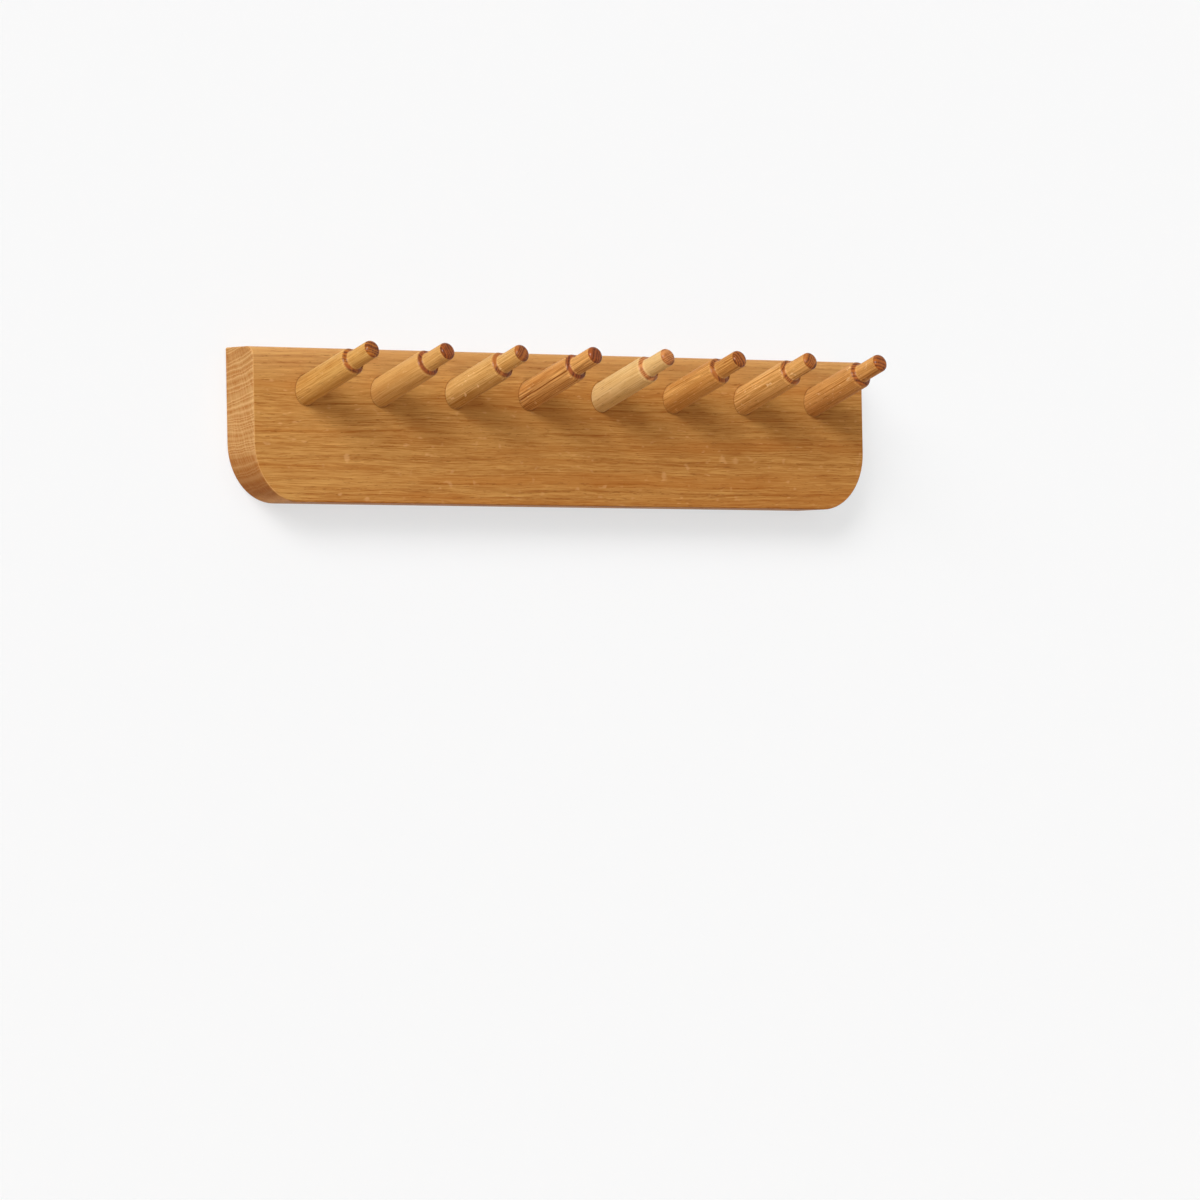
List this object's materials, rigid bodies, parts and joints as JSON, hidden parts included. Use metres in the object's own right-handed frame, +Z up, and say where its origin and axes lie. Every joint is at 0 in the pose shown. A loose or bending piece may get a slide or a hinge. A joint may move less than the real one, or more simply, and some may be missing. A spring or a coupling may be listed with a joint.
{
  "type": "peg rail",
  "caption": "Wall-hung oak peg rail: a thick board with rounded lower corners, a row of upward-tilted stepped pegs glued into its face, and keyhole hanger plates in its back.",
  "frame": {"origin": "middle of the back face, which lies on the wall", "axes": "+X along the rail to the right as seen from the front, +Y into the wall, +Z up; the pegs reach out towards -Y"},
  "size_m": [0.6, 0.0991, 0.1093],
  "materials": {
    "board_oak": "oiled oak, satin, with long straight grain",
    "peg_oak": "turned oak, oiled, satin, darker on the end grain",
    "plate_steel": "zinc plated, dull",
    "screw_steel": "zinc plated, bright"
  },
  "bodies": {
    "root": {"back_board": "board_oak", "peg_1": "peg_oak", "peg_2": "peg_oak", "peg_3": "peg_oak", "peg_4": "peg_oak", "peg_5": "peg_oak", "peg_6": "peg_oak", "peg_7": "peg_oak", "peg_8": "peg_oak", "keyhole_plate_left": "plate_steel", "keyhole_plate_right": "plate_steel", "plate_screws": "screw_steel"}
  },
  "joints": []
}
